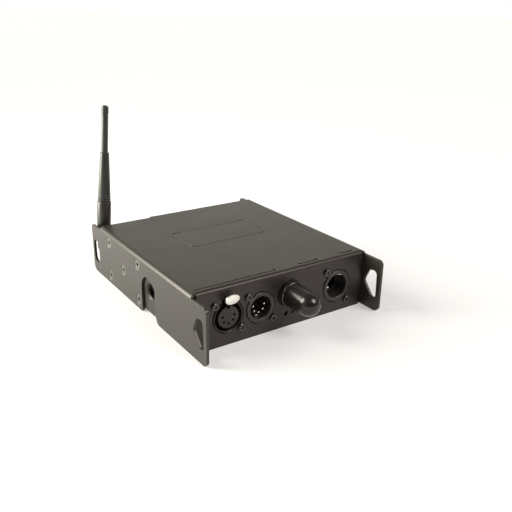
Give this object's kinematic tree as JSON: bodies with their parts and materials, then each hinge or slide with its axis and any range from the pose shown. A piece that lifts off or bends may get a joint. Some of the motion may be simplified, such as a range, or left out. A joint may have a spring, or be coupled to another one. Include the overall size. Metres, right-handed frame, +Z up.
{
  "type": "wireless data receiver",
  "caption": "Compact wireless data receiver in a folded metal case with carrying ears, multi-pin and network sockets, a dome aerial and a folding whip antenna.",
  "frame": {"origin": "middle of the case's footprint, on the surface that it stands on", "axes": "+X to the right seen from the front, +Y from the front panel to the rear panel, +Z up"},
  "size_m": [0.141, 0.1944, 0.1296],
  "materials": {
    "cover_paint": "fine-textured warm grey powder coat",
    "chassis_paint": "fine-textured dark grey powder coat",
    "bracket_steel": "grey powder coat",
    "zinc_steel": "zinc plated",
    "bush_steel": "black oxide, worn at the mouth",
    "bare_screw": "plated steel, satin",
    "black_screw": "black oxide",
    "connector_black": "moulded, satin",
    "insert_grey": "moulded, satin",
    "contact_brass": "plated",
    "latch_nickel": "bright nickel",
    "pin_silver": "silver plated",
    "jack_black": "moulded",
    "contact_gold": "gold plated",
    "collar_metal": "dark anodised",
    "dome_smoke": "smoked, polished",
    "lamp_lens": "smoked lens, unlit",
    "button_black": "moulded",
    "board_green": "solder mask",
    "board_blue": "solder mask",
    "chip_black": "epoxy",
    "capacitor_sleeve": "shrink sleeve",
    "shield_tin": "tinned",
    "coil_core": "ferrite",
    "coax_black": "extruded jacket",
    "antenna_black": "moulded, satin",
    "antenna_plastic": "moulded, satin"
  },
  "bodies": {
    "unit": {"top_cover": "cover_paint", "chassis_tray": "chassis_paint", "mounting_bracket": "bracket_steel", "clamp_bush": "bush_steel", "bracket_screws": "bare_screw", "cover_screws": "black_screw", "foot_screws": "black_screw", "xlr_out_shell": "connector_black", "xlr_out_insert": "insert_grey", "xlr_out_contacts": "contact_brass", "xlr_in_shell": "connector_black", "xlr_in_pins": "pin_silver", "xlr_in_ground_spring": "latch_nickel", "net_shell": "connector_black", "net_jack": "jack_black", "net_contacts": "contact_gold", "net_ground_springs": "latch_nickel", "connector_screws": "black_screw", "dome_collar": "collar_metal", "dome_cover": "dome_smoke", "dome_nut": "zinc_steel", "dome_radiator": "contact_brass", "status_lens": "lamp_lens", "button_switch": "jack_black", "main_board": "board_green", "board_standoffs": "zinc_steel", "board_screws": "zinc_steel", "board_chips": "chip_black", "board_capacitors": "capacitor_sleeve", "signal_transformers": "chip_black", "radio_module": "board_blue", "radio_shield": "shield_tin", "power_board": "board_green", "power_coil": "coil_core", "front_coax": "coax_black", "rear_coax": "coax_black", "antenna_jack": "contact_gold", "jack_washer": "zinc_steel", "jack_nut": "contact_gold", "antenna_coupling_nut": "antenna_black", "power_inlet": "connector_black", "power_inlet_pin": "pin_silver", "power_inlet_nut": "zinc_steel"},
    "latch": {"xlr_out_latch": "latch_nickel"},
    "button": {"function_button": "button_black"},
    "knuckle": {"antenna_knuckle": "antenna_black", "hinge_pin": "zinc_steel"},
    "whip": {"antenna_sleeve": "antenna_plastic", "antenna_rod": "antenna_plastic", "antenna_tip": "antenna_plastic"}
  },
  "joints": [
    {"name": "latch_push", "type": "slide", "parent": "unit", "child": "latch", "axis": [0, 1, 0], "range_m": [0, 0.0015], "stiffness_N_per_m": 400},
    {"name": "button_press", "type": "slide", "parent": "unit", "child": "button", "axis": [0, 1, 0], "range_m": [0, 0.0005], "stiffness_N_per_m": 1000},
    {"name": "antenna_swivel", "type": "hinge", "parent": "unit", "child": "knuckle", "pos_m": [-0.0625, 0.087, 0.02], "axis": [0, 1, 0], "range_deg": [-4, 85]},
    {"name": "antenna_fold", "type": "hinge", "parent": "knuckle", "child": "whip", "pos_m": [-0.0625, 0.087, 0.02], "axis": [-0.9963, 0, 0.0854], "range_deg": [0, 90]}
  ]
}
